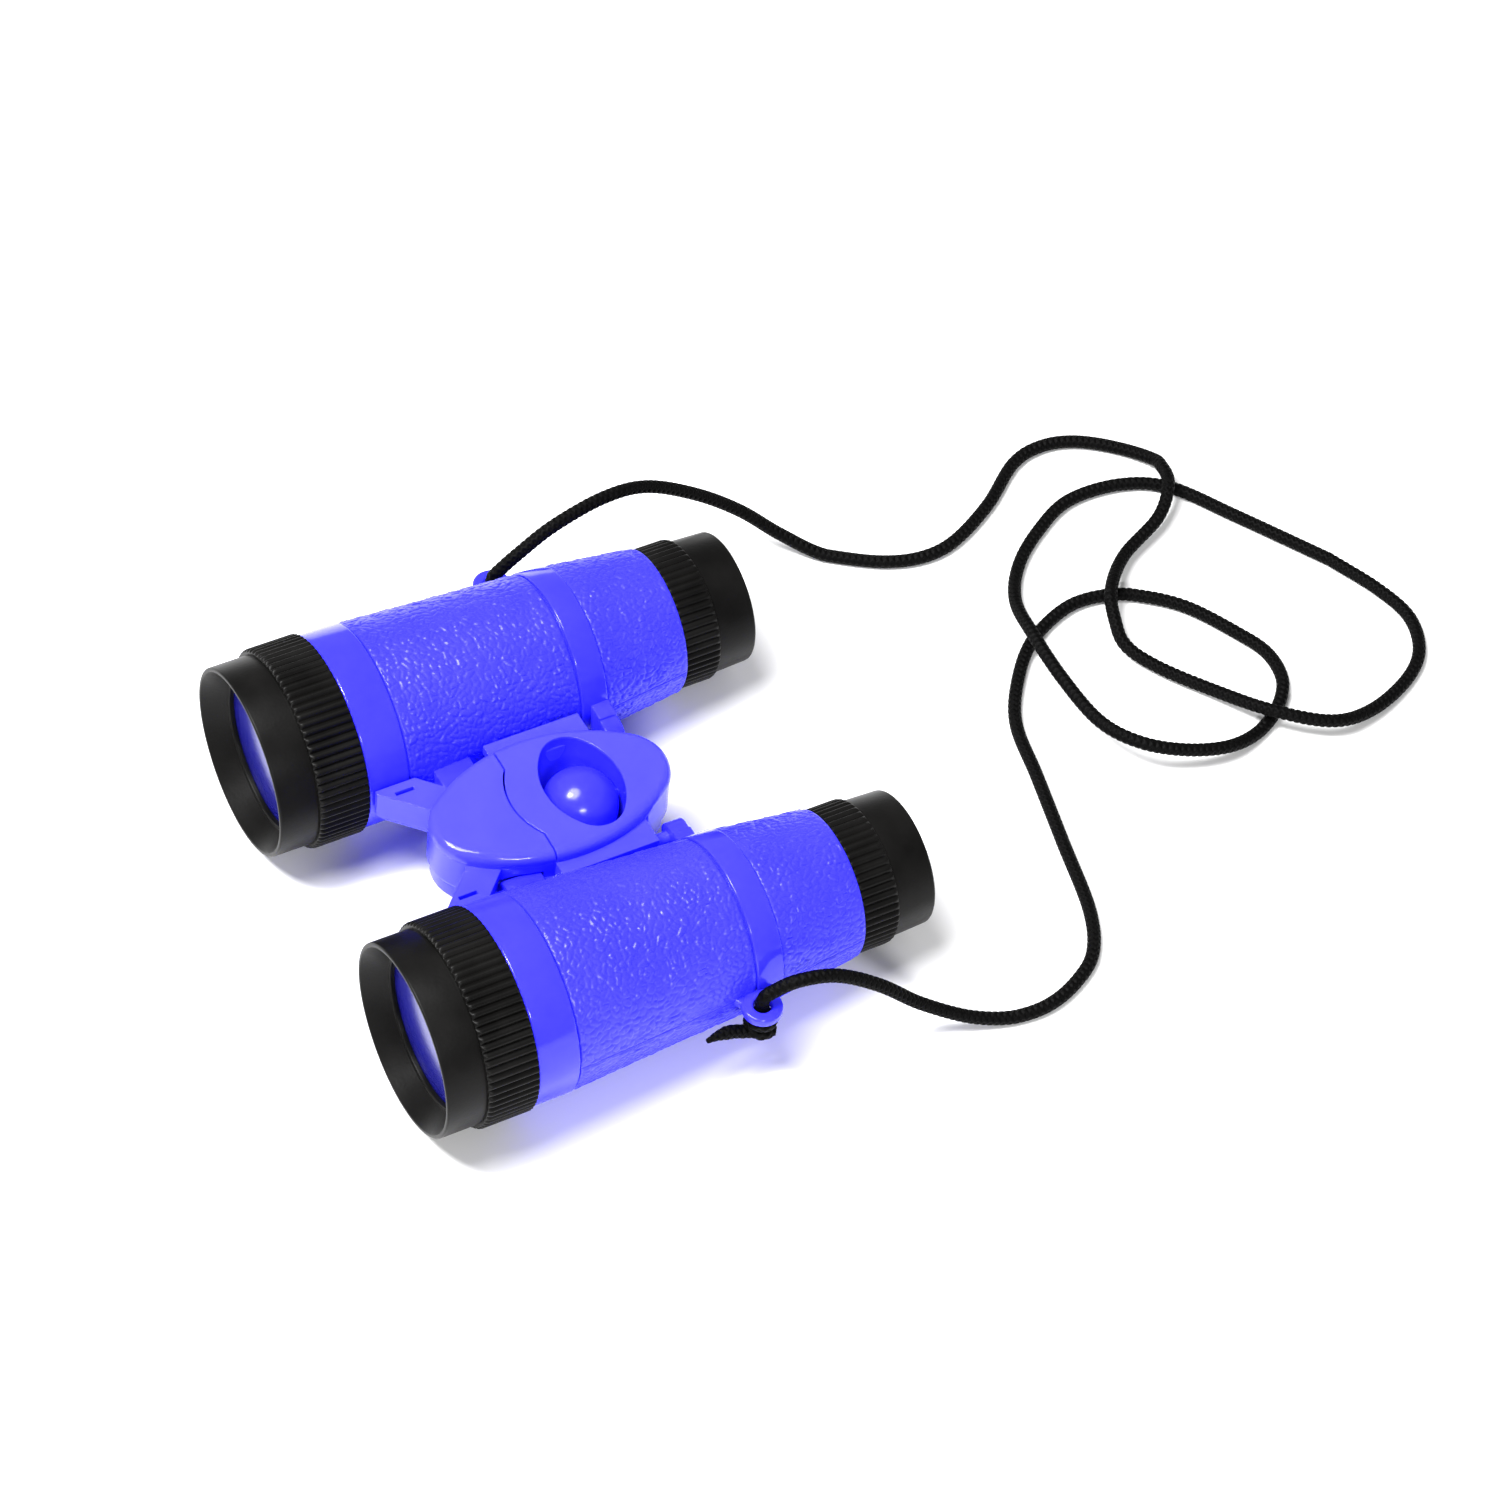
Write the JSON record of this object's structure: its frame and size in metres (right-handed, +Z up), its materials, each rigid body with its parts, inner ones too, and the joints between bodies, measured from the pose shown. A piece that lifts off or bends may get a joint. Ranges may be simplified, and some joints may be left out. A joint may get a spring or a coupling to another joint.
{
  "type": "toy binoculars",
  "caption": "Toy binoculars: tapered barrels hinged to an oval hub, ribbed lens caps and eyepieces, a turning focus ball and a looped neck cord.",
  "frame": {"origin": "on the floor under the middle of the binoculars as they lie, without the cord", "axes": "+Z up, the objectives face -Y, the eyepieces face +Y, and the user's left barrel is on +X; the barrels' axes tip down by 3.16 degrees towards +Y, as the binoculars lie on their ribbed rings and middle bands"},
  "size_m": [0.1464, 0.258, 0.0448],
  "materials": {
    "hub": "glossy moulded",
    "barrel": "glossy bands with a leather grain between them",
    "cap": "satin",
    "lens": "clear",
    "steel": "bright",
    "cord": "braided"
  },
  "bodies": {
    "hub": {"hub_body": "hub", "hub_tub": "hub", "cover_front": "hub", "cover_rear": "hub", "screw_front": "steel", "screw_rear": "steel", "hinge_pin_left": "hub", "hinge_pin_right": "hub", "neck_cord_left": "cord", "neck_cord_right": "cord"},
    "focus_ball": {"focus_ball": "hub"},
    "left_barrel": {"barrel_left": "barrel", "objective_cap_left": "cap", "objective_lens_left": "lens", "lens_keeper_left": "cap", "eyepiece_left": "cap", "eye_lens_left": "lens", "eye_keeper_left": "cap", "cord_knot_left": "cord"},
    "right_barrel": {"barrel_right": "barrel", "objective_cap_right": "cap", "objective_lens_right": "lens", "lens_keeper_right": "cap", "eyepiece_right": "cap", "eye_lens_right": "lens", "eye_keeper_right": "cap", "cord_knot_right": "cord"}
  },
  "joints": [
    {"name": "left_hinge", "type": "hinge", "parent": "hub", "child": "left_barrel", "pos_m": [0.015, -0.00482, 0.02027], "axis": [0, 0.9985, -0.0552], "range_deg": [0, 35], "deforming": ["neck_cord_left"]},
    {"name": "right_hinge", "type": "hinge", "parent": "hub", "child": "right_barrel", "pos_m": [-0.015, -0.00482, 0.02027], "axis": [0, -0.9985, 0.0552], "range_deg": [0, 35], "deforming": ["neck_cord_right"]},
    {"name": "focus_spin", "type": "hinge", "parent": "hub", "child": "focus_ball", "pos_m": [0, 0.00248, 0.02016], "axis": [0, 0.9985, -0.0552], "continuous": true}
  ]
}
